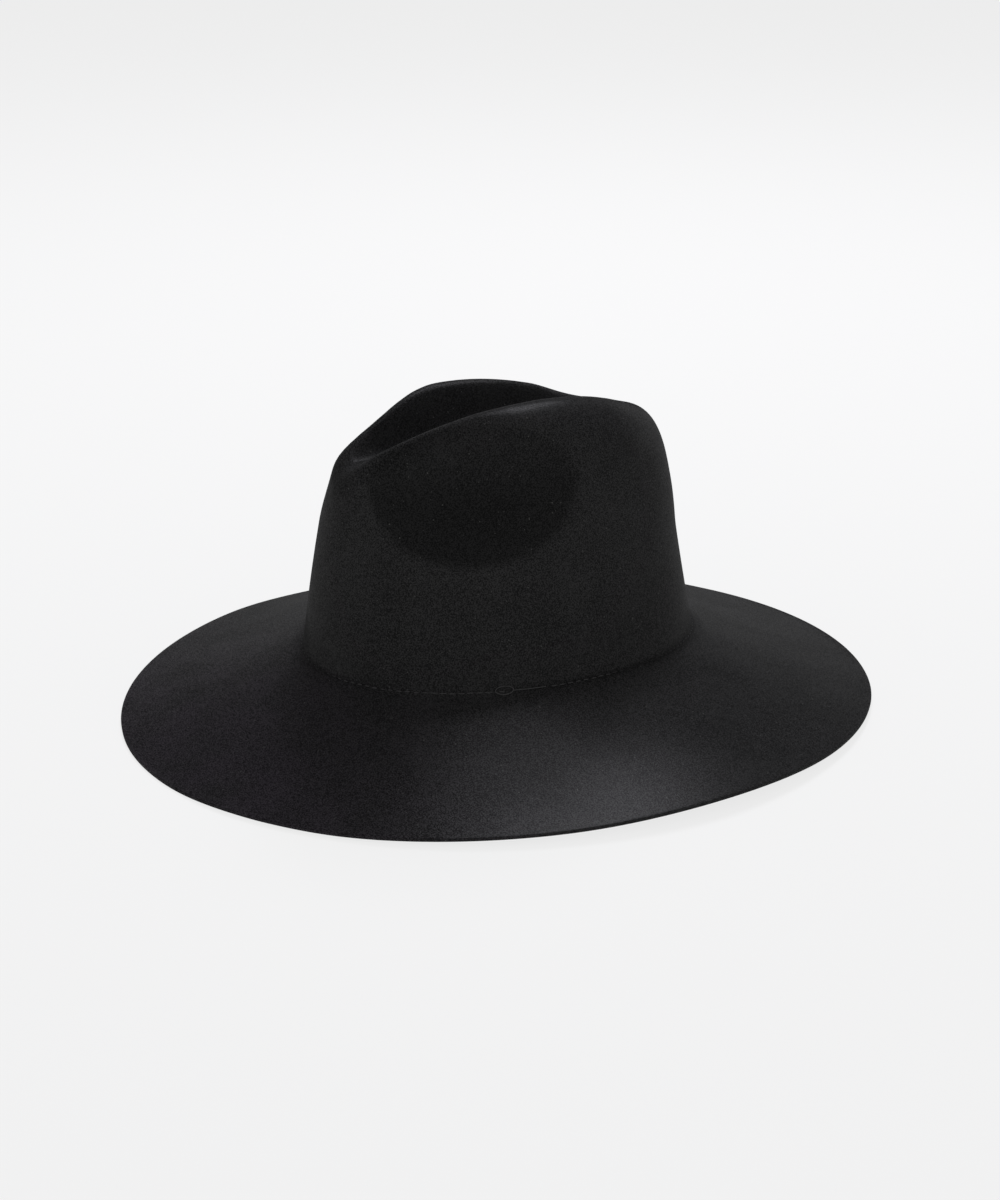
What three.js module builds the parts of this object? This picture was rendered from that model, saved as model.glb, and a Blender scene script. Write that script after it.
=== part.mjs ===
// Wide-brim fedora, blocked in one piece from wool felt, with a sweatband sewn in at the crown's foot.
// Lengths are millimetres and angles degrees. X is the wearer's left, Y the back, Z up.
// Heights in the tables are above the crown's foot, where crown and brim meet. At the end the hat
// is moved so that the brim's edge rests on Z = 0 and the middle of the hat is over the origin.

import * as THREE from 'three';

// Felt, and the oval of the crown's foot, measured over the outside of the felt
const feltThick = 2.0;
const foot = { front: 101, back: 104.5, side: 85, sideRise: 1.8, frontRise: 1.1 };

// The block: how far each wall leans in over its first 100 mm, plainly and with a growing curve
const wallLean = { front: 9, back: 19, side: 19 };
const wallCurve = { front: 6, back: -5, side: 4 };
const leanHeight = 100;
const wallTop = 160;

// The block's domed top: its highest point, the radii of its arcs along and across the hat, and
// the slight tilt to the wearer's left that the back half has
const dome = {
  height: 131.8, peakY: -4, frontRadius: 166, backRadius: 135, acrossRadius: 96,
  tilt: 0.09, tiltFrom: -60, tiltTo: 60,
};

// How softly the walls turn into the dome at the front, the middle and the back
const shoulder = { front: 17.5, frontY: -90, middle: 21.5, backFrom: -20, backY: 80, back: 14.5 };

// The crease pressed along the top: a rounded trough that climbs out at the back, a little to the
// wearer's right of the middle and a little askew, as a hand presses it
const crease = {
  bottom: 100, steepness: 1.2, roundness: 9.5, climbFromY: 56, climb: 0.17, climbEase: 14.5,
  offset: -5, skew: -0.033, edge: 8,
};

// The finger dents at both sides of the front: each is the mark of an egg pressed into the felt
const dent = { x: 68, y: -52, z: 104.3, turn: 64, tip: 24.8, deep: 33.3, long: 127, tall: 49.8, edge: 8 };

// The brim: its cut width, its slope at three places, and how much steeper it leaves the crown
const brim = { width: 98.3, slopeFront: 20.4, slopeSide: 18.4, slopeBack: 19.0, bend: 0.25 };
const foldReach = 3.5;
const restDepth = 0.9;

// The sweatband: a plain band inside the crown's foot
const band = { height: 33, thick: 0.9, clearance: 0.4, fromFoot: 1.5 };

// Mesh lines: columns around the hat, and the rows of a column from the brim's edge to the crease.
// The underside of the felt leaves out the rows that its plain stretches can do without.
const around = 96;
const brimRows = [
  { share: 1, under: true }, { share: 0.97, under: true }, { share: 0.85, under: false },
  { share: 0.72, under: true }, { share: 0.58, under: false }, { share: 0.44, under: true },
  { share: 0.3, under: false }, { share: 0.16, under: true },
];
const foldRows = [0, 0.25, 0.5, 0.75, 1];
const wallRows = [
  { height: 14, under: false }, { height: 26, under: true }, { height: 38, under: false },
];
const spine = { front: -62, back: 62, height: 50, underCrease: 1 };
const rim = { lean: 10, lowest: 50, highest: 80, step: 0.25 };
const cast = { nearest: 2, farthest: 130, halvings: 30 };
const sideSteps = 10;
const topSteps = 5;

const feltColour = 0x232225;
const bandColour = 0x1b1b1c;

const radians = THREE.MathUtils.degToRad;
const smoothstep = THREE.MathUtils.smoothstep;

// The larger of two distances, with a rounded change from one to the other
function roundedMax(a, b, width) {
  const overlap = Math.max(width - Math.abs(a - b), 0) / width;
  return Math.max(a, b) + (overlap * overlap * width) / 4;
}

// Distance outside the block's wall
function wallDistance({ x, y, z }) {
  const up = THREE.MathUtils.clamp(z, 0, wallTop) / leanHeight;
  const inset = (end) => wallLean[end] * up + wallCurve[end] * up * up;
  const length = y < 0 ? foot.front - inset('front') : foot.back - inset('back');
  const width = foot.side - inset('side');
  const share = Math.hypot(x / width, y / length);
  return ((share - 1) * share) / Math.hypot(x / width ** 2, y / length ** 2);
}

// Distance above the block's dome
function domeDistance({ x, y, z }) {
  const radius = y < dome.peakY ? dome.frontRadius : dome.backRadius;
  const along = y - dome.peakY;
  const top = dome.height - along ** 2 / (2 * radius) - x ** 2 / (2 * dome.acrossRadius)
    + dome.tilt * x * smoothstep(y, dome.tiltFrom, dome.tiltTo);
  return (z - top) / Math.hypot(1, along / radius, x / dome.acrossRadius);
}

function shoulderWidth(y) {
  const toBack = smoothstep(y, shoulder.backFrom, shoulder.backY);
  const toFront = smoothstep(-y, 0, -shoulder.frontY);
  return shoulder.middle + (shoulder.back - shoulder.middle) * toBack
    + (shoulder.front - shoulder.middle) * toFront;
}

function creaseX(y) {
  return crease.offset + crease.skew * y;
}

// Distance into the space that the crease's tool takes
function creaseDistance({ x, y, z }) {
  const aside = x - creaseX(y);
  const past = y - crease.climbFromY;
  const rise = (crease.climb * (Math.hypot(past, crease.climbEase) + past)) / 2;
  const reach = Math.hypot(aside, crease.roundness);
  const floor = crease.bottom + rise + crease.steepness * (reach - crease.roundness);
  return (z - floor) / Math.hypot(1, (crease.steepness * aside) / reach);
}

// Distance outside the egg that pressed the dent
function dentDistance({ x, y, z }) {
  const turn = radians(dent.turn);
  const tip = radians(dent.tip);
  const side = Math.abs(x) - dent.x;
  const outward = side * Math.sin(turn) - (y - dent.y) * Math.cos(turn);
  const along = side * Math.cos(turn) + (y - dent.y) * Math.sin(turn);
  const up = z - dent.z;
  const deep = (outward * Math.cos(tip) + up * Math.sin(tip)) / dent.deep;
  const tall = (up * Math.cos(tip) - outward * Math.sin(tip)) / dent.tall;
  const long = along / dent.long;
  const share = Math.hypot(deep, tall, long);
  return (share * (share - 1)) / Math.hypot(deep / dent.deep, tall / dent.tall, long / dent.long);
}

// Distance outside the finished crown: the block with its dents and crease
function crownDistance(point) {
  const block = roundedMax(wallDistance(point), domeDistance(point), shoulderWidth(point.y));
  const dented = roundedMax(block, -dentDistance(point), dent.edge);
  return roundedMax(dented, creaseDistance(point), crease.edge);
}

// The point where a ray from inside the crown comes within `depth` of its outer skin
function castOut(start, direction, distance, depth = 0) {
  let near = cast.nearest;
  let far = cast.farthest;
  for (let step = 0; step < cast.halvings; step += 1) {
    const middle = (near + far) / 2;
    const point = start.clone().addScaledVector(direction, middle);
    if (distance(point) < -depth) near = middle;
    else far = middle;
  }
  return start.clone().addScaledVector(direction, near);
}

// Column directions fan out from a spine along the hat, so that both halves meet at the crease.
// The spine is straight for the walls and moves under the crease for the rows that climb to it.
function spinePoint(turn, height, elevation) {
  const y = (Math.cos(turn) > 0 ? spine.front : spine.back) * Math.abs(Math.cos(turn));
  return new THREE.Vector3(creaseX(y) * smoothstep(elevation, 0, spine.underCrease), y, height);
}

function crownPoint(turn, height, elevation, distance = crownDistance, depth = 0) {
  const direction = new THREE.Vector3(
    Math.sin(turn) * Math.cos(elevation), -Math.cos(turn) * Math.cos(elevation), Math.sin(elevation));
  return castOut(spinePoint(turn, height, elevation), direction, distance, depth);
}

// The elevation at which a column crosses the crown's rim, found as its farthest point up and out
function rimElevation(turn) {
  const lean = radians(rim.lean);
  const reach = (degrees) => {
    const point = crownPoint(turn, spine.height, radians(degrees));
    const start = spinePoint(turn, spine.height, radians(degrees));
    const out = Math.hypot(point.x - start.x, point.y - start.y);
    return point.z * Math.cos(lean) + out * Math.sin(lean);
  };
  let best = rim.lowest;
  for (let degrees = rim.lowest; degrees <= rim.highest; degrees += rim.step) {
    if (reach(degrees) > reach(best)) best = degrees;
  }
  return radians(best);
}

// A point of the brim's upper skin, at a share of its width from the foot
function brimPoint(turn, share) {
  const footPoint = crownPoint(turn, 0, 0, wallDistance);
  const length = footPoint.y < 0 ? foot.front : foot.back;
  const out = new THREE.Vector2(footPoint.x / foot.side ** 2, footPoint.y / length ** 2).normalize();
  const bearing = Math.atan2(footPoint.x / foot.side, -footPoint.y / length);
  const middle = (brim.slopeFront + brim.slopeBack) / 2;
  const slope = radians((middle + brim.slopeSide) / 2
    + ((brim.slopeFront - brim.slopeBack) / 2) * Math.cos(bearing)
    + ((middle - brim.slopeSide) / 2) * Math.cos(2 * bearing));
  const run = brim.width * share;
  const drop = Math.sin(slope) * run * (1 + brim.bend * (1 - share));
  const height = foot.frontRise * Math.cos(bearing) - foot.sideRise * Math.cos(2 * bearing) - drop;
  return new THREE.Vector3(
    footPoint.x + out.x * run * Math.cos(slope), footPoint.y + out.y * run * Math.cos(slope), height);
}

// The rounded fold at the foot, from the brim up into the wall
function foldPoint(turn, share) {
  const corner = brimPoint(turn, 0);
  const low = brimPoint(turn, foldReach / brim.width);
  const high = crownPoint(turn, corner.z + foldReach, 0);
  return new THREE.QuadraticBezierCurve3(low, corner, high).getPoint(share);
}

// Where the edge would sink below the resting height, the felt bends up and lies flat
const restingHeight = Math.min(brimPoint(0, 1).z, brimPoint(Math.PI, 1).z) + restDepth;
const floorHeight = restingHeight - feltThick;

function restingBrimPoint(turn, share) {
  const point = brimPoint(turn, share);
  point.z = Math.max(point.z, restingHeight);
  return point;
}

// The rows of the outer skin: a function that places each one, and whether the underside has it
function skinRows() {
  const rows = brimRows.map(({ share, under }) => (
    { place: (turn) => restingBrimPoint(turn, share), under }));
  foldRows.forEach((share) => rows.push({ place: (turn) => foldPoint(turn, share), under: true }));
  wallRows.forEach(({ height, under }) => rows.push(
    { place: (turn) => crownPoint(turn, height, 0), under }));
  for (let step = 0; step < sideSteps; step += 1) {
    const place = (turn, top) => crownPoint(turn, spine.height, (top * step) / sideSteps);
    rows.push({ place, under: true });
  }
  for (let step = 0; step < topSteps; step += 1) {
    const place = (turn, top) => crownPoint(
      turn, spine.height, top + ((Math.PI / 2 - top) * step) / topSteps);
    rows.push({ place, under: true });
  }
  return rows;
}

// Faces between two closed rings of points, as triangles
function ringFaces(lower, upper) {
  const faces = [];
  lower.forEach((corner, index) => {
    const next = (index + 1) % lower.length;
    faces.push(corner, lower[next], upper[next], corner, upper[next], upper[index]);
  });
  return faces;
}

// Faces from the last ring to the line along the crease, where both halves of the crown meet
function creaseFaces(ring, line) {
  const faces = [];
  for (let index = 0; index < line.length - 1; index += 1) {
    const left = [ring[index], ring[index + 1]];
    const right = [ring[(ring.length - index) % ring.length], ring[ring.length - index - 1]];
    const [near, far] = [line[index], line[index + 1]];
    faces.push(left[0], left[1], far, left[0], far, near);
    faces.push(right[1], right[0], near, right[1], near, far);
  }
  return faces;
}

function geometryFrom(points, faces) {
  const geometry = new THREE.BufferGeometry();
  geometry.setFromPoints(points);
  geometry.setIndex(faces);
  geometry.computeVertexNormals();
  return geometry;
}

const turns = Array.from({ length: around }, (_, index) => (2 * Math.PI * index) / around);

// Crown and brim, one felt wall: the outer skin, the same skin moved in by the felt, and the cut edge
function makeFelt() {
  const rims = turns.map(rimElevation);
  const rows = skinRows();
  const points = rows.flatMap(({ place }) => turns.map((turn, index) => place(turn, rims[index])));
  const lineTurns = turns.slice(0, around / 2 + 1);
  points.push(...lineTurns.map((turn) => crownPoint(turn, spine.height, Math.PI / 2)));

  const ring = (row) => turns.map((_, index) => row * around + index);
  const line = lineTurns.map((_, index) => rows.length * around + index);
  const outerRings = rows.map((_, row) => ring(row));
  const outerFaces = [];
  outerRings.slice(1).forEach((upper, row) => outerFaces.push(...ringFaces(outerRings[row], upper)));
  outerFaces.push(...creaseFaces(outerRings.at(-1), line));

  const normals = geometryFrom(points, outerFaces).getAttribute('normal');
  const moved = points.map((point, index) => {
    const inner = new THREE.Vector3().fromBufferAttribute(normals, index);
    inner.multiplyScalar(-feltThick).add(point);
    if (point.z === restingHeight || inner.z < floorHeight) inner.z = floorHeight;
    return inner;
  });

  const below = (indices) => indices.map((index) => index + points.length);
  const innerRings = outerRings.filter((_, row) => rows[row].under).map(below);
  const innerFaces = [];
  innerRings.slice(1).forEach((upper, row) => innerFaces.push(...ringFaces(upper, innerRings[row])));
  innerFaces.push(...creaseFaces(innerRings.at(-1), below(line)).reverse());
  const cutEdge = ringFaces(innerRings[0], outerRings[0]);
  const faces = [...outerFaces, ...innerFaces, ...cutEdge];
  return withoutLoosePoints(geometryFrom([...points, ...moved], faces));
}

// The same faces, with the points that no face uses left out
function withoutLoosePoints(geometry) {
  const position = geometry.getAttribute('position');
  const kept = new Map();
  const points = [];
  const faces = Array.from(geometry.getIndex().array, (index) => {
    if (!kept.has(index)) {
      kept.set(index, points.length);
      points.push(new THREE.Vector3().fromBufferAttribute(position, index));
    }
    return kept.get(index);
  });
  return geometryFrom(points, faces);
}

// The sweatband: two skins at steady distances inside the crown's wall, closed at both edges
function makeBand() {
  const ring = (rise, depth) => turns.map((turn) => {
    const height = brimPoint(turn, 0).z + rise;
    return crownPoint(turn, height, 0, wallDistance, depth);
  });
  const outside = feltThick + band.clearance;
  const inside = outside + band.thick;
  const top = band.fromFoot + band.height;
  const rings = [
    ring(band.fromFoot, outside), ring(top, outside), ring(top, inside), ring(band.fromFoot, inside),
  ];
  const numbers = rings.map((_, row) => turns.map((_turn, index) => row * around + index));
  const faces = numbers.flatMap((lower, row) => ringFaces(lower, numbers[(row + 1) % rings.length]));
  return geometryFrom(rings.flat(), faces);
}

function makeMesh(name, geometry, color, roughness) {
  const mesh = new THREE.Mesh(
    geometry, new THREE.MeshStandardMaterial({ color, roughness, metalness: 0 }));
  mesh.name = name;
  return mesh;
}

const hat = new THREE.Group();
hat.add(makeMesh('felt_body', makeFelt(), feltColour, 0.95));
hat.add(makeMesh('sweatband', makeBand(), bandColour, 0.8));

// The middle of the hat over the origin, and the brim's edge on the ground
const bounds = new THREE.Box3().setFromObject(hat);
const middle = bounds.getCenter(new THREE.Vector3());
hat.position.set(-middle.x, -middle.y, -bounds.min.z);

export default hat;
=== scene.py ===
import math
import random

import bmesh
import bpy
from mathutils import Matrix, Vector
from mathutils.bvhtree import BVHTree


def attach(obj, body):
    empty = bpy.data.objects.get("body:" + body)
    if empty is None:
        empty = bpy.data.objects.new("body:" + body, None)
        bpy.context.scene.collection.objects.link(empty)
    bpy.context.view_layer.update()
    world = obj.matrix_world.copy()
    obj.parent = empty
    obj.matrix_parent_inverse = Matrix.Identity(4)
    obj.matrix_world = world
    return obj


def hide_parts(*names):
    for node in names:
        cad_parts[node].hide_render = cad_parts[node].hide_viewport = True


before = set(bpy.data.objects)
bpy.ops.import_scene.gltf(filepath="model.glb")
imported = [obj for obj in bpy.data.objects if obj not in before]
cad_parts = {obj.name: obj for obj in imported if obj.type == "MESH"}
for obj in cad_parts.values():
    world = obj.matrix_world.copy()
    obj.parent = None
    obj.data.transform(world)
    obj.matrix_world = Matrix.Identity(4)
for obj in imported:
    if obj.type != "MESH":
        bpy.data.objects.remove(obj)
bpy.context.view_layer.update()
print("frame loaded")

# The picture's camera: a long lens, off the wearer's left front and looking down at the hat
pictureCamera = {
    "azimuth": 58.71,           # degrees round from the front of the hat
    "elevation": 20.22,
    "distance": 1.4,            # metres from the middle of the crown's foot
    "lens": 82.8,               # millimetres, as is the sensor
    "sensor": 36,
    "footMiddle": (0, -0.00215, 0.0361),
    "right": 0.00175,           # how far the view is moved sideways and up from that middle
    "up": 0.01492,
}


# The direction that lies so many degrees round from the front and so many up
def directionTo(azimuth, elevation):
    turn, rise = math.radians(azimuth), math.radians(elevation)
    level = math.cos(rise)
    return Vector((math.sin(turn) * level, -math.cos(turn) * level, math.sin(rise)))


def makeCamera(values):
    turn = math.radians(values["azimuth"])
    right = Vector((math.cos(turn), math.sin(turn), 0))
    back = directionTo(values["azimuth"], values["elevation"])
    up = back.cross(right)
    place = Vector(values["footMiddle"]) + back * values["distance"]
    place += right * values["right"] + up * values["up"]
    data = bpy.data.cameras.new("pictureCamera")
    data.lens = values["lens"]
    data.sensor_width = values["sensor"]
    camera = bpy.data.objects.new("pictureCamera", data)
    turned = Matrix((right, up, back)).transposed().to_4x4()
    camera.matrix_world = Matrix.Translation(place) @ turned
    bpy.context.collection.objects.link(camera)
    bpy.context.scene.camera = camera


makeCamera(pictureCamera)

# Studio: white walls, a ceiling that is dim behind the hat, and a lamp in a big softbox there
studio = {
    "wallLight": 1.2,
    "ceilingFront": 0.9,        # the side that the picture is taken from
    "ceilingBack": 0.06,
    "ceilingBlend": 0.4,        # how far the two reach into each other, as part of a direction
    "ceilingFrom": 0.12,        # height of the blend from wall to ceiling, as a direction's z
    "ceilingTo": 0.5,
    "softboxes": {              # azimuth and elevation in degrees, power in watts
        "softbox": {"azimuth": -130, "elevation": 56, "width": 0.5, "height": 1.1, "power": 18},
        "lamp": {"azimuth": -129.5, "elevation": 50, "width": 0.4, "height": 0.4, "power": 8},
    },
    "softboxColor": (0.965, 0.965, 1.03),
    "softboxDistance": 1.7,
    "floorRadius": 9,
    "floorSides": 96,
    "floorTone": 0.1,
    "floorRoughness": 0.9,
    "floorGlow": 0.785,         # a lit white table, so that no shadow darkens it
}


# A number or a direction that varies over a surface: arithmetic on it adds Math nodes
class Value:
    def __init__(self, shader, socket):
        self.shader = shader
        self.socket = socket

    def combine(self, operation, *values):
        return self.shader.add("ShaderNodeMath", {"operation": operation}, values)

    def __add__(self, other):
        return self.combine("ADD", self, other)

    def __sub__(self, other):
        return self.combine("SUBTRACT", self, other)

    def __rsub__(self, other):
        return self.combine("SUBTRACT", other, self)

    def __mul__(self, other):
        return self.combine("MULTIPLY", self, other)

    def __truediv__(self, other):
        return self.combine("DIVIDE", self, other)

    def __abs__(self):
        return self.combine("ABSOLUTE", self)

    def root(self):
        return self.combine("SQRT", self)

    def sine(self):
        return self.combine("SINE", self)

    __radd__ = __add__
    __rmul__ = __mul__


# The nodes of a material or of the room, with the surface that they feed
class Shader:
    def __init__(self, owner, surface, settings):
        self.owner = owner
        self.owner.use_nodes = True
        self.tree = owner.node_tree
        self.surface = self.tree.nodes[surface]
        for socket, value in settings.items():
            self.surface.inputs[socket].default_value = value

    def add(self, kind, settings, values, output=0):
        node = self.tree.nodes.new(kind)
        for name, value in settings.items():
            setattr(node, name, value)
        pairs = values.items() if isinstance(values, dict) else enumerate(values)
        for socket, value in pairs:
            if isinstance(value, Value):
                self.tree.links.new(value.socket, node.inputs[socket])
            else:
                node.inputs[socket].default_value = value
        return Value(self, node.outputs[output])

    def place(self, kind="Object"):
        return self.add("ShaderNodeTexCoord", {}, {}, kind)

    # The x, y and z of a place or a direction
    def axes(self, place):
        cut = self.add("ShaderNodeSeparateXYZ", {}, {0: place})
        return [Value(self, output) for output in cut.socket.node.outputs]

    def noise(self, size, detail, rough):
        return self.add("ShaderNodeTexNoise", {}, {
            "Vector": self.place(), "Scale": 1 / size, "Detail": detail, "Roughness": rough})

    def between(self, value, low, high, to=(0, 1), ease="LINEAR"):
        return self.add("ShaderNodeMapRange", {"interpolation_type": ease}, {
            "Value": value, "From Min": low, "From Max": high, "To Min": to[0], "To Max": to[1]})

    def mix(self, factor, first, second, blend="MIX"):
        return self.add("ShaderNodeMix", {"data_type": "RGBA", "blend_type": blend}, {
            0: factor, 6: first, 7: second}, 2)

    def feed(self, socket, value):
        self.tree.links.new(value.socket, self.surface.inputs[socket])

    def bump(self, height, strength, distance):
        self.feed("Normal", self.add("ShaderNodeBump", {}, {
            "Strength": strength, "Distance": distance, "Height": height}))


def colour(*levels):
    return (*levels, 1)


def grey(level):
    return colour(level, level, level)


def makeObject(name, mesh, material, smooth=True):
    data = bpy.data.meshes.new(name)
    mesh.to_mesh(data)
    mesh.free()
    for polygon in data.polygons:
        polygon.use_smooth = smooth
    data.materials.append(material)
    piece = bpy.data.objects.new(name, data)
    bpy.context.collection.objects.link(piece)
    return piece


def makeRoom(values, cameraAzimuth):
    world = bpy.data.worlds.new("room")
    shader = Shader(world, "Background", {"Strength": 1})
    direction = shader.place("Generated")
    height = shader.axes(direction)[2]
    facing = shader.add("ShaderNodeVectorMath", {"operation": "DOT_PRODUCT"}, {
        0: direction, 1: directionTo(cameraAzimuth, 0)}, "Value")
    blend = values["ceilingBlend"]
    front = shader.between(facing, -blend, blend, ease="SMOOTHSTEP")
    ceiling = shader.mix(front, grey(values["ceilingBack"]), grey(values["ceilingFront"]))
    overhead = shader.between(
        height, values["ceilingFrom"], values["ceilingTo"], ease="SMOOTHSTEP")
    shader.feed("Color", shader.mix(overhead, grey(values["wallLight"]), ceiling))
    bpy.context.scene.world = world


def makeStudio(values):
    for name, box in values["softboxes"].items():
        light = bpy.data.lights.new(name, "AREA")
        light.shape = "RECTANGLE"
        light.size = box["width"]
        light.size_y = box["height"]
        light.energy = box["power"]
        light.color = values["softboxColor"]
        softbox = bpy.data.objects.new(name, light)
        direction = directionTo(box["azimuth"], box["elevation"])
        turned = direction.to_track_quat("Z", "Y").to_matrix().to_4x4()
        softbox.matrix_world = Matrix.Translation(direction * values["softboxDistance"]) @ turned
        bpy.context.collection.objects.link(softbox)

    disc = bmesh.new()
    bmesh.ops.create_circle(
        disc, cap_ends=True, segments=values["floorSides"], radius=values["floorRadius"])
    paper = Shader(bpy.data.materials.new("paperFloor"), "Principled BSDF", {
        "Base Color": grey(values["floorTone"]), "Roughness": values["floorRoughness"],
        "Specular IOR Level": 0,
        "Emission Color": grey(1), "Emission Strength": values["floorGlow"]})
    makeObject("floor", disc, paper.owner, smooth=False)


bpy.context.scene.view_settings.view_transform = "Standard"
makeRoom(studio, pictureCamera["azimuth"])
makeStudio(studio)
print("camera and studio ready")

# The crown's foot, an oval that dips a little at the front and the back
foot = {
    "middleY": -0.00215, "middleZ": 0.0361,
    "front": 0.101, "back": 0.1045, "side": 0.085,
    "frontRise": 0.0011, "sideRise": 0.0018,
    "length": 0.5914,           # once round
    "meanRadius": 0.0942,
    "seamAbove": 0.0005,        # how far the outer stitches lie above it
    "castBetween": (1.2, 0.5),  # the ends of level lines that cross the skins, in parts of its size
}

# Wool felt: near-black short nap with a fine mottled grain and a few pale flecks of lint
felt = {
    "dark": colour(0.0044, 0.0044, 0.0045),
    "light": colour(0.0178, 0.0176, 0.0179),
    "toneRange": (0.445, 0.555),
    "grain": (0.00065, 3, 0.65),    # a noise is given by its size, detail and roughness
    "clump": (0.003, 3, 0.5),
    "cloud": (0.03, 2, 0.5),
    "grainShare": 0.83,
    "clumpShare": 0.08,
    "cloudShare": 0.09,
    "clumpRange": (0.3, 0.7),
    "roughness": (0.85, 1.0),
    "lint": colour(0.035, 0.035, 0.034),
    "fleck": (0.0012, 0, 0.5),
    "fleckShare": (0.815, 0.84),    # the part of its noise that shows as lint
    "sheen": 0.015,
    "sheenRoughness": 0.5,
    "polish": (0.074, 0.078),       # the faint gloss of the brushed nap, on brim and crown
    "polishFrom": (0.045, 0.09),
    "polishGrain": (0.5, 1.6),      # how unevenly it shines, in general and on the faded front
    "polishRoughness": 0.31,
    "polishIor": 1.5,
    "reliefGrain": 0.7,
    "reliefClump": 0.3,
    "relief": 0.6,
    "reliefHeight": 0.00012,
    "seamGap": (0.0002, 0.0016),    # how far the painted shade along the stitches reaches
    # how dark that painted shade gets
    "seamShadeStrength": 0.35,
    "seamOpenAt": 58,               # degrees round from the front, where the fold is open and its painted shade is weakest
    "seamOpenFrom": (0.080, 0.087),
    "seamOpen": 0.25,
    "seamMatt": (0.001, 0.004),     # how far the fold stays with less gloss
    "seamPolish": (0.3, 1),
    "faded": colour(1.10, 0.96, 1.14),      # the front of the brim, faded a little in clouds
    "fadedFrom": (-0.16, -0.06),
    "fadedTo": (0.040, 0.034),
    "fadedCloud": 1.6,
}

# The two dents at the front, with painted shade that darkens the nap's tone there
dentShape = {
    "middle": (0.068, -0.0542, 0.1404), "turn": 64, "tip": 24.8,
    "deep": 0.0333, "long": 0.127, "tall": 0.0498, "edge": (1.04, 1.11),
    "pressed": 0.48,            # how much of the nap's tone the painted shade leaves there
    "fade": (0.118, 0.152),     # heights between which the dents' painted shade fades
    "faded": 0.5,
}

# The crease, with painted shade over it, darker painted shade in its trough and a painted highlight
# along its crest
creaseShape = {
    "bottom": 0.1361, "steepness": 1.2, "roundness": 0.0095,
    "offset": -0.0051, "skew": -0.033, "edge": 0.005,
    # how much of the nap's tone the crease's painted shade leaves
    "pressed": 0.56,
    "frontFade": (-0.080, -0.062),  # how its look sets in behind the front
    # the painted shade grows darker along the trough
    "troughAside": (0.0015, 0.006), "troughShadeDark": 0.4,
    # the painted highlight along the crest, paler than the nap
    "crestHighlightColor": colour(0.030, 0.0295, 0.030), "crestHighlightShare": 0.75,
    "crestFrom": (0.0008, 0.002), "crestTo": (0.003, 0.006), "crestAside": (0.005, 0.012),
    "dull": 0.25,               # how much of the gloss is left at the crest, and how it comes back
    "dullTo": (0.006, 0.022),
}


# Where the dents' painted shade lies, weakening towards their top
def dentShadeMask(shader, place, values):
    x, y, z = place
    middleX, middleY, middleZ = values["middle"]
    side, ahead, up = abs(x) - middleX, y - middleY, z - middleZ
    turn, tip = math.radians(values["turn"]), math.radians(values["tip"])
    outward = side * math.sin(turn) - ahead * math.cos(turn)
    along = (side * math.cos(turn) + ahead * math.sin(turn)) * (1 / values["long"])
    deep = (outward * math.cos(tip) + up * math.sin(tip)) * (1 / values["deep"])
    tall = (up * math.cos(tip) - outward * math.sin(tip)) * (1 / values["tall"])
    share = (deep * deep + tall * tall + along * along).root()
    fading = shader.between(z, *values["fade"], (1, values["faded"]), "SMOOTHSTEP")
    return shader.between(share, *values["edge"], (1, 0), "SMOOTHSTEP") * fading


# How far a place is aside from the crease's line, and how far below the crease's own surface
def fromCrease(place, values):
    x, y, z = place
    aside = x - y * values["skew"] - values["offset"]
    reach = (aside * aside + values["roundness"] ** 2).root() - values["roundness"]
    return abs(aside), reach * values["steepness"] + values["bottom"] - z


# How far a place is above or below the line of the stitches at the crown's foot
def offSeam(place):
    x, y, z = place
    aside = x * (1 / foot["side"])
    ahead = (foot["middleY"] - y) * (1 / foot["front"])
    cosine = ahead / (ahead * ahead + aside * aside).root()
    twice = cosine * cosine * 2 - 1
    height = cosine * foot["frontRise"] - twice * foot["sideRise"] + (
        foot["middleZ"] + foot["seamAbove"])
    return abs(z - height)


# How far a place lies towards a bearing, which is in degrees round from the front
def towards(place, bearing):
    x, y = place[:2]
    turn = math.radians(bearing)
    return x * math.sin(turn) - y * math.cos(turn)


# The masks of the crease: its painted shade, the painted highlight at its crest, the darker painted
# shade in its trough and its gloss
def creaseMasks(shader, place, values):
    aside, below = fromCrease(place, values)
    front = shader.between(place[1], *values["frontFade"])
    creaseShade = shader.between(below, 0, values["edge"], (1, 0), "SMOOTHSTEP") * front
    crestHighlight = shader.between(below, *values["crestFrom"]) * shader.between(
        below, *values["crestTo"], (values["crestHighlightShare"], 0))
    crestHighlight = crestHighlight * shader.between(aside, *values["crestAside"]) * front
    troughShade = shader.between(aside, *values["troughAside"], (values["troughShadeDark"], 0))
    gloss = shader.between(below, *values["dullTo"], (values["dull"], 1), "SMOOTHSTEP")
    return creaseShade, crestHighlight, troughShade, gloss


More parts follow.
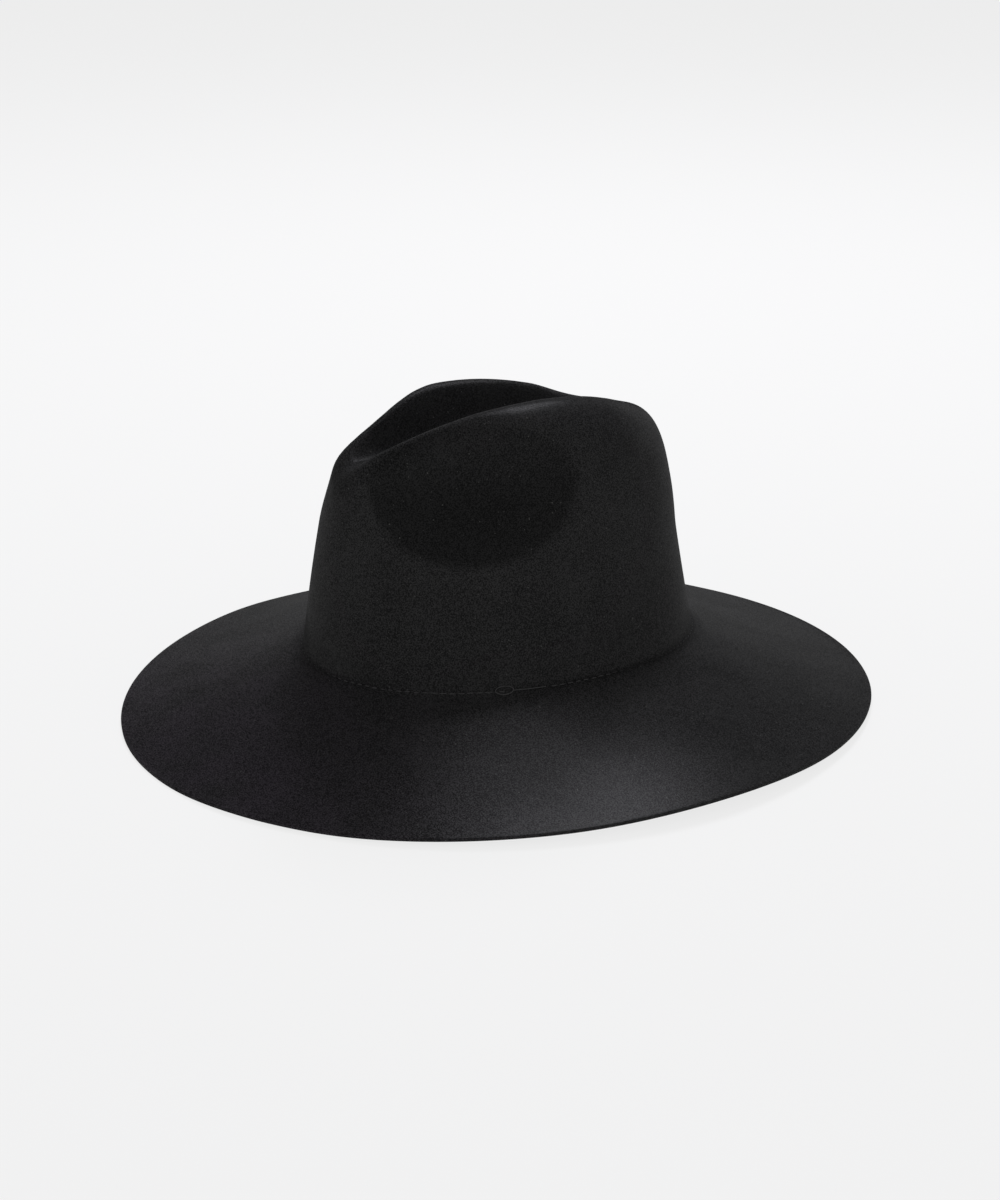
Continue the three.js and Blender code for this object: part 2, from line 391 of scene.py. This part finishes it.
def makeFelt(values):
    shader = Shader(bpy.data.materials.new("woolFelt"), "Principled BSDF", {
        "Specular IOR Level": 0,
        "Coat Roughness": values["polishRoughness"], "Coat IOR": values["polishIor"],
        "Sheen Weight": values["sheen"], "Sheen Roughness": values["sheenRoughness"],
    })
    place = shader.axes(shader.place())
    y, z = place[1:]
    grain = shader.noise(*values["grain"])
    clump = shader.noise(*values["clump"])
    cloud = shader.noise(*values["cloud"])
    mottle = grain * values["grainShare"] + clump * values["clumpShare"] + (
        cloud * values["cloudShare"])
    tone = shader.between(mottle, *values["toneRange"])

    # Painted shade in the dents and over the crease, darker in its trough, and a painted highlight
    # along its crest
    creaseShade, crestHighlight, troughShade, gloss = creaseMasks(shader, place, creaseShape)
    pressed = (1 - dentShadeMask(shader, place, dentShape) * (1 - dentShape["pressed"])) * (
        1 - creaseShade * (1 - creaseShape["pressed"])) * (1 - creaseShade * troughShade)
    napColor = shader.mix(pressed, grey(0), shader.mix(tone, values["dark"], values["light"]))
    # A painted highlight along the crease's crest
    napColor = shader.mix(crestHighlight * tone, napColor, creaseShape["crestHighlightColor"])

    gap = offSeam(place)
    # Painted shade along the stitches at the crown's foot, weaker where the fold is open
    seamShade = shader.between(gap, *values["seamGap"], (values["seamShadeStrength"], 0)) * shader.between(
        towards(place, values["seamOpenAt"]), *values["seamOpenFrom"], (1, values["seamOpen"]))
    napColor = shader.mix(seamShade, napColor, grey(0))

    faded = shader.between(y, *values["fadedFrom"], (1, 0)) * shader.between(z, *values["fadedTo"])
    napColor = shader.mix(
        faded * cloud * values["fadedCloud"], napColor, values["faded"], "MULTIPLY")
    flecks = shader.between(shader.noise(*values["fleck"]), *values["fleckShare"])
    shader.feed("Base Color", shader.mix(flecks, napColor, values["lint"]))

    shader.feed("Roughness", shader.between(clump, *values["clumpRange"], values["roughness"]))
    polish = shader.between(z, *values["polishFrom"], values["polish"], "SMOOTHSTEP")
    matt = shader.between(gap, *values["seamMatt"], values["seamPolish"])
    uneven = (tone - 0.5) * shader.between(faded, 0, 1, values["polishGrain"]) + 1
    shader.feed("Coat Weight", polish * gloss * matt * uneven)
    shader.bump(grain * values["reliefGrain"] + clump * values["reliefClump"],
                values["relief"], values["reliefHeight"])
    return shader.owner


feltMaterial = makeFelt(felt)

# Crown and brim: the CAD's felt with its triangles joined, its cut edge eased and its skin smoothed
feltBody = {
    "node": "felt_body",
    "slot": "wool_felt",
    "cutAngle": 50,             # degrees between faces at the brim's cut edge
    "cutTop": 0.06,             # height below which an edge counts as the cut edge
    "cutEase": 0.00035,
    "levels": 2,
    "fitFrom": (0.038, 0.048),  # the heights between which the fit to the CAD sets in
    # the shoulder and the edges, a millimetre or two off the CAD as in the photograph: the middle
    # of each place, how far it reaches and how much it moves
    "eased": [
        {"at": (0.005, 0.074, 0.144), "reach": (0.045, 0.024, 0.020), "by": (0, 0.0010, 0.0010)},
        {"at": (0.020, 0.085, 0.105), "reach": (0.045, 0.030, 0.022), "by": (0.0002, 0.0010, 0)},
        {"at": (0.177, 0.018, 0.005), "reach": (0.060, 0.085, 0.030), "by": (0, 0, 0.0013)},
        {"at": (-0.178, 0, 0.006), "reach": (0.060, 0.075, 0.030), "by": (0, 0, -0.0022)},
        {"at": (-0.025, 0.055, 0.147), "reach": (0.028, 0.020, 0.016), "by": (0, 0, -0.0014)},
        {"at": (0.070, -0.178, 0.001), "reach": (0.055, 0.050, 0.030), "by": (0, 0, 0.0009)},
    ],
}


# A copy of a CAD node, with its triangles joined in pairs so that it can be subdivided
def copyOfNode(node, weld=0.00002):
    mesh = bmesh.new()
    mesh.from_mesh(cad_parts[node].data)
    bmesh.ops.remove_doubles(mesh, verts=mesh.verts, dist=weld)
    bmesh.ops.join_triangles(
        mesh, faces=mesh.faces, angle_face_threshold=math.pi,
        angle_shape_threshold=math.pi, topology_influence=2)
    bmesh.ops.dissolve_verts(mesh, verts=[v for v in mesh.verts if len(v.link_edges) == 2])
    print(node, len(mesh.faces), "faces,", sum(len(f.verts) == 3 for f in mesh.faces), "triangles")
    return mesh


def easeSharpEdges(mesh, values):
    sharp = [edge for edge in mesh.edges
             if edge.calc_face_angle() > math.radians(values["cutAngle"])
             and edge.verts[0].co.z < values["cutTop"]]
    bmesh.ops.bevel(
        mesh, geom=sharp, offset=values["cutEase"], offset_type="OFFSET", segments=2, profile=0.5,
        affect="EDGES", material=-1, clamp_overlap=True)


def easeOut(mesh, places):
    for place in places:
        for vertex in mesh.verts:
            away = sum(((vertex.co[axis] - place["at"][axis]) / place["reach"][axis]) ** 2
                       for axis in range(3))
            vertex.co += Vector(place["by"]) * max(1 - away, 0) ** 2


def smoothed(piece, levels):
    modifier = piece.modifiers.new("smoothSkin", "SUBSURF")
    modifier.levels = levels
    modifier.render_levels = levels


# Moves the crown's points so that its smoothed skin passes through the places where they were
def fitToSkin(piece, low, high, rounds=3):
    wanted = [vertex.co.copy() for vertex in piece.data.vertices]
    shares = [min(max((place.z - low) / (high - low), 0), 1) for place in wanted]
    for step in range(rounds):
        skin = piece.evaluated_get(bpy.context.evaluated_depsgraph_get()).data
        for vertex, target, reached, share in zip(
                piece.data.vertices, wanted, skin.vertices, shares):
            vertex.co += (target - reached.co) * share
        piece.data.update()
        bpy.context.view_layer.update()


def makeFeltBody(values):
    mesh = copyOfNode(values["node"])
    easeSharpEdges(mesh, values)
    easeOut(mesh, values["eased"])
    piece = makeObject("feltHat", mesh, feltMaterial)
    smoothed(piece, values["levels"])
    fitToSkin(piece, *values["fitFrom"])
    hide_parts(values["node"])
    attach(piece, "root")
    return piece


feltHat = makeFeltBody(feltBody)
print("felt body ready")


def footPoint(bearing, above=0, spread=1):
    ahead, aside = math.cos(bearing), math.sin(bearing)
    depth = foot["front"] if ahead > 0 else foot["back"]
    height = foot["middleZ"] + foot["frontRise"] * ahead - foot["sideRise"] * math.cos(2 * bearing)
    return Vector((foot["side"] * aside * spread, foot["middleY"] - depth * ahead * spread,
                   height + above))


# Bearings at even steps along the foot, from one bearing to another, in radians
def footSteps(start, end, pitch, nearby=0.001):
    bearing, steps = start, []
    while bearing < end:
        steps.append(bearing)
        radius = (footPoint(bearing + nearby) - footPoint(bearing)).length / nearby
        bearing += pitch / radius
    return steps


def skinOf(piece):
    return BVHTree.FromObject(piece, bpy.context.evaluated_depsgraph_get())


# The place where a level line through the foot meets a piece's skin, and the direction out of it
def onSkin(skin, bearing, above, fromInside=False):
    start, end = [footPoint(bearing, above, spread) for spread in foot["castBetween"]]
    if fromInside:
        start, end = end, start
    return skin.ray_cast(start, (end - start).normalized())[:2]


# Sweatband: a plain ribbed cloth band inside the crown's foot
sweatband = {
    "node": "sweatband",
    "slot": "band_cloth",
    "cutAngle": 50,
    "cutTop": 1,                # above the whole band, so that all its sharp edges are eased
    "cutEase": 0.0002,
    "levels": 2,
    "color": colour(0.011, 0.011, 0.012),
    "wornColor": colour(0.019, 0.0185, 0.018),
    "worn": (0.03, 4, 0.5),     # a noise, given as the felt's are
    "thread": (0.0005, 2, 0.5),
    "shade": 0.4,
    "shadeRib": 0.18,
    "shadeWorn": 0.5,
    "shadeThread": 0.3,
    "shadeRange": (0.3, 1.2),
    "wornRange": (0.3, 0.7),
    "roughness": (0.62, 0.78),
    "rib": 0.0011,              # from one woven rib to the next
    "edgeRoll": 0.0016,         # how high the lower woven edge is, smoother than the ribs
    "reliefRib": 0.5,
    "reliefThread": 0.25,
    "relief": 0.8,
    "reliefHeight": 0.00012,
}


def makeBandCloth(values):
    shader = Shader(bpy.data.materials.new("bandCloth"), "Principled BSDF", {
        "Specular IOR Level": 0.12, "Sheen Weight": 0.03, "Sheen Roughness": 0.4})
    strip = shader.add("ShaderNodeUVMap", {"uv_map": "alongBand"}, {})
    along, height = shader.axes(strip)[:2]
    rib = (along * (2 * math.pi / values["rib"])).sine()
    worn = shader.noise(*values["worn"])
    thread = shader.noise(*values["thread"])
    shade = rib * values["shadeRib"] + values["shade"] + worn * values["shadeWorn"] + (
        thread * values["shadeThread"])
    shader.feed("Base Color", shader.mix(
        shader.between(shade, *values["shadeRange"]), values["color"], values["wornColor"]))
    shader.feed("Roughness", shader.between(worn, *values["wornRange"], values["roughness"]))
    edge = shader.between(height, 0, values["edgeRoll"])
    shader.bump(rib * edge * values["reliefRib"] + thread * values["reliefThread"],
                values["relief"], values["reliefHeight"])
    return shader.owner


def bearingOf(place):
    return math.atan2(place.x / foot["side"], (foot["middleY"] - place.y) / foot["back"])


# Gives each corner of the band its length round the foot and its height above the foot
def wrapBand(mesh):
    layer = mesh.loops.layers.uv.new("alongBand")
    for face in mesh.faces:
        middle = bearingOf(face.calc_center_median())
        for loop in face.loops:
            bearing = bearingOf(loop.vert.co)
            turn = (bearing - middle + math.pi) % (2 * math.pi) - math.pi + middle
            lift = loop.vert.co.z - footPoint(bearing).z
            loop[layer].uv = (turn / (2 * math.pi) * foot["length"], lift)


def makeSweatband(values):
    mesh = copyOfNode(values["node"])
    easeSharpEdges(mesh, values)
    wrapBand(mesh)
    piece = makeObject("clothBand", mesh, makeBandCloth(values))
    smoothed(piece, values["levels"])
    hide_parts(values["node"])
    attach(piece, "root")
    return piece


clothBand = makeSweatband(sweatband)
print("sweatband ready")

# Sewing: one running stitch holds the sweatband, with its thread's ends joined on the left
sewing = {
    "seed": 7,
    "pitch": 0.0043,
    "length": (0.0026, 0.0031),
    "width": 0.00056,
    "thick": 0.00042,
    "stray": 0.00012,           # how far a stitch may lie above or below its row
    "bandAbove": 0.0034,        # height of the same stitches inside, on the sweatband
    "bandFree": 0.02,           # radians left free at that row's end
    "joinFrom": 62.6,           # degrees round from the front, where the join's loop starts
    "joinTo": 67.8,             # where the loop ends and one long stitch starts
    "longTo": 77.0,
    "freeOfLoop": 0.03,         # radians that the outer row keeps from the loop
    "freeOfLong": 0.012,        # and from the long stitch
    "loopPoints": 12,
    "loopTall": 0.0017,
    "loopAbove": 0.0004,
    "loopStitch": 0.012,        # radians from the loop's middle back to the stitch inside it
    "longPoints": 6,
    "proud": 0.3,               # how far loop and long stitch lie off the felt, in thread widths
    "drawnFrom": 43,            # degrees, from where the stitches up to the join are drawn long
    "drawn": 1.35,
    "color": colour(0.038, 0.0375, 0.038),
    "darkerColor": colour(0.0065, 0.0064, 0.0066),     # the thread's colour away from the bearing below
    "lighterAt": 58,              # degrees round from the front, towards which the thread turns lighter
    "lighterFrom": (0.060, 0.071),
    "twist": (0.0004, 1, 0.5),
    "twistRange": (0.3, 0.7),
    "twistShade": (0.4, 1),
    "relief": 0.5,
    "reliefHeight": 0.00008,
}


def makeThread(values):
    shader = Shader(bpy.data.materials.new("sewingThread"), "Principled BSDF", {
        "Specular IOR Level": 0.06, "Roughness": 0.6})
    place = shader.axes(shader.place())
    twist = shader.noise(*values["twist"])
    # The thread is lighter towards that bearing and darker away from it
    proud = shader.between(towards(place, values["lighterAt"]), *values["lighterFrom"])
    shade = shader.between(twist, *values["twistRange"], values["twistShade"])
    shader.feed("Base Color", shader.mix(proud * shade, values["darkerColor"], values["color"]))
    shader.bump(twist, values["relief"], values["reliefHeight"])
    return shader.owner


threadMaterial = makeThread(sewing)


def finishThread(piece):
    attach(piece, "root")
    return piece


# One stitch: a long thin bead that lies on the skin between the two holes of the thread
def addStitch(mesh, start, end, normal, values):
    along = end - start
    across = normal.cross(along).normalized() * values["width"] / 2
    rise = along.cross(across).normalized() * values["thick"] / 2
    if rise.dot(normal) < 0:
        rise.negate()
    lie = Matrix((across, rise, along / 2)).transposed().to_4x4()
    bmesh.ops.create_uvsphere(
        mesh, u_segments=8, v_segments=6, radius=1,
        matrix=Matrix.Translation((start + end) / 2) @ lie)


def makeStitches(name, skin, bearings, above, fromInside, values):
    chance = random.Random(values["seed"])
    mesh = bmesh.new()
    for bearing in bearings:
        reach = chance.uniform(*values["length"]) / foot["meanRadius"] / 2
        if values["drawnFrom"] < math.degrees(bearing) % 360 < values["joinFrom"]:
            reach *= values["drawn"]
        lift = above + chance.uniform(-values["stray"], values["stray"])
        start, normal = onSkin(skin, bearing - reach, lift, fromInside)
        end, endNormal = onSkin(skin, bearing + reach, lift, fromInside)
        addStitch(mesh, start, end, normal + endNormal, values)
    bmesh.ops.recalc_face_normals(mesh, faces=mesh.faces)
    return finishThread(makeObject(name, mesh, threadMaterial))


def makeThreadCurve(name, places, closed, values):
    data = bpy.data.curves.new(name, "CURVE")
    data.dimensions = "3D"
    data.bevel_depth = values["width"] / 2
    data.bevel_resolution = 2
    data.resolution_u = 4
    data.use_fill_caps = True
    strand = data.splines.new("NURBS")
    strand.points.add(len(places) - 1)
    for point, (place, normal) in zip(strand.points, places):
        point.co = (*(place + normal.normalized() * values["width"] * values["proud"]), 1)
    strand.order_u = 3
    strand.use_cyclic_u = closed
    strand.use_endpoint_u = not closed
    data.materials.append(threadMaterial)
    piece = bpy.data.objects.new(name, data)
    bpy.context.collection.objects.link(piece)
    return finishThread(piece)


feltSkin = skinOf(feltHat)
seamAbove = foot["seamAbove"]
joinFrom, joinTo, longTo = [math.radians(sewing[key]) for key in ("joinFrom", "joinTo", "longTo")]
rowEnd = joinFrom + 2 * math.pi
outerBearings = [bearing for bearing in footSteps(longTo, rowEnd, sewing["pitch"])
                 if bearing - longTo > sewing["freeOfLong"]
                 and rowEnd - bearing > sewing["freeOfLoop"]]
makeStitches("outerStitches", feltSkin, outerBearings, seamAbove, False, sewing)
bandBearings = footSteps(0, 2 * math.pi - sewing["bandFree"], sewing["pitch"])
makeStitches("bandStitches", skinOf(clothBand), bandBearings, sewing["bandAbove"], True, sewing)

loopMiddle, loopReach = (joinFrom + joinTo) / 2, (joinTo - joinFrom) / 2
loopTurns = [point * math.tau / sewing["loopPoints"] for point in range(sewing["loopPoints"])]
threadLoop = [onSkin(feltSkin, loopMiddle + loopReach * math.cos(turn),
                     seamAbove + sewing["loopTall"] * math.sin(turn) + sewing["loopAbove"])
              for turn in loopTurns]
makeThreadCurve("threadLoop", threadLoop, True, sewing)
longStitch = [onSkin(feltSkin, joinTo + (longTo - joinTo) * point / sewing["longPoints"], seamAbove)
              for point in range(sewing["longPoints"] + 1)]
makeThreadCurve("longStitch", longStitch, False, sewing)
loopStitch = [loopMiddle - sewing["loopStitch"]]
makeStitches("loopStitch", feltSkin, loopStitch, seamAbove, False, sewing)
print("stitches ready:", len(outerBearings))
